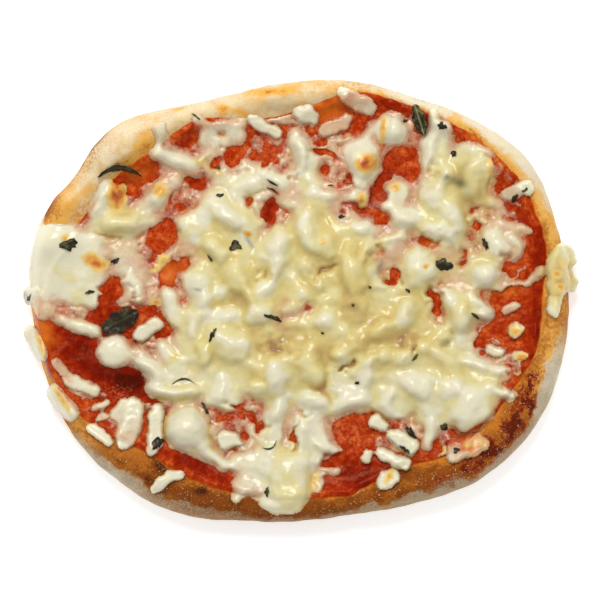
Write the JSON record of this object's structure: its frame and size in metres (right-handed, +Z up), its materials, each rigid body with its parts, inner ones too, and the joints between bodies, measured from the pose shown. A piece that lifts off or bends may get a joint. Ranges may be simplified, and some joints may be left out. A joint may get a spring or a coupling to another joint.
{
  "type": "margherita pizza",
  "caption": "Small oval pizza, hand-stretched, with a raised rim, tomato sauce, melted shredded mozzarella and scraps of basil, lying flat.",
  "frame": {"origin": "on the table under the middle of the pizza, in the plane of the flat underside", "axes": "+X along the pizza's longest way across, +Y to the far side, which is the top edge of the picture seen from above, +Z up"},
  "size_m": [0.1419, 0.1141, 0.0191],
  "materials": {
    "crust": "matt baked dough, floury at the outside, golden to brown near the sauce",
    "tomato_sauce": "wet, slightly pulpy, glossy",
    "mozzarella": "melted, cream-coloured, soft sheen, a few browned spots",
    "basil": "dark, wilted, slightly oily"
  },
  "bodies": {
    "root": {"crust": "crust", "tomato_sauce": "tomato_sauce", "melted_cheese": "mozzarella", "cheese_shred_far_slanting": "mozzarella", "cheese_shred_far_flat": "mozzarella", "cheese_chunk_far": "mozzarella", "cheese_lump_far_pair": "mozzarella", "cheese_edge_left": "mozzarella", "cheese_edge_near_left": "mozzarella", "cheese_shred_left_torn": "mozzarella", "cheese_shred_left_slanting": "mozzarella", "cheese_shred_left_upper": "mozzarella", "cheese_shred_left_middle": "mozzarella", "cheese_shred_left_lower": "mozzarella", "cheese_shred_near_left_broad": "mozzarella", "cheese_shred_near_left_tall": "mozzarella", "cheese_shred_near_rim": "mozzarella", "cheese_chunk_near_left": "mozzarella", "cheese_rod_near_short": "mozzarella", "cheese_rod_near_thick": "mozzarella", "cheese_rod_near_thin": "mozzarella", "cheese_chunk_near_browned": "mozzarella", "cheese_crumb_near": "mozzarella", "cheese_blister_near_right": "mozzarella", "cheese_shred_right_oval": "mozzarella", "cheese_bit_right_browned": "mozzarella", "cheese_shred_right_small": "mozzarella", "cheese_bit_right_fried": "mozzarella", "cheese_shred_right_golden": "mozzarella", "cheese_lump_right_rim": "mozzarella", "basil_leaf_left": "basil", "basil_leaf_far": "basil", "basil_leaf_charred": "basil"}
  },
  "joints": []
}
